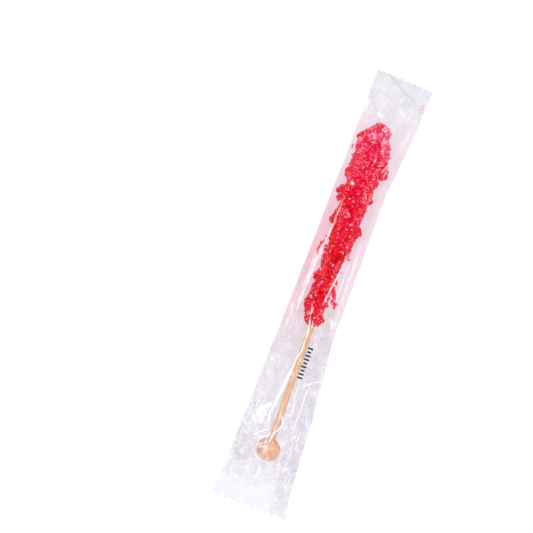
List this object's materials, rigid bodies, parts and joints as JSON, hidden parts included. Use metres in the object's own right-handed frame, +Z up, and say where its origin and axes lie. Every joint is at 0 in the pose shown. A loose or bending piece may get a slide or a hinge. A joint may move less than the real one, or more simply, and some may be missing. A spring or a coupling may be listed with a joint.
{
  "type": "wrapped rock candy swizzle stick",
  "caption": "Red rock candy grown on a ball-ended wooden swizzle stick, sealed in a clear flow-wrap sleeve with crimped, toothed ends and a back fin.",
  "frame": {"origin": "bottom centre of the whole pack's box, on the surface it lies on", "axes": "+Y along the pack towards the candy end, +X to the right seen from above, +Z up out of the face that shows"},
  "size_m": [0.0388, 0.227, 0.0136],
  "materials": {
    "film": "clear glossy film with a faint lavender cast, wrinkled and creased, crimped at the end seals",
    "sugar": "translucent red sugar crystals with glossy facets, paler and pinker towards the tip",
    "dowel_wood": "smooth bare birch, fine lengthwise grain",
    "ball_wood": "turned bare birch, faint grain"
  },
  "bodies": {
    "root": {"wrapper": "film", "candy": "sugar", "stick": "dowel_wood", "ball": "ball_wood"}
  },
  "joints": []
}
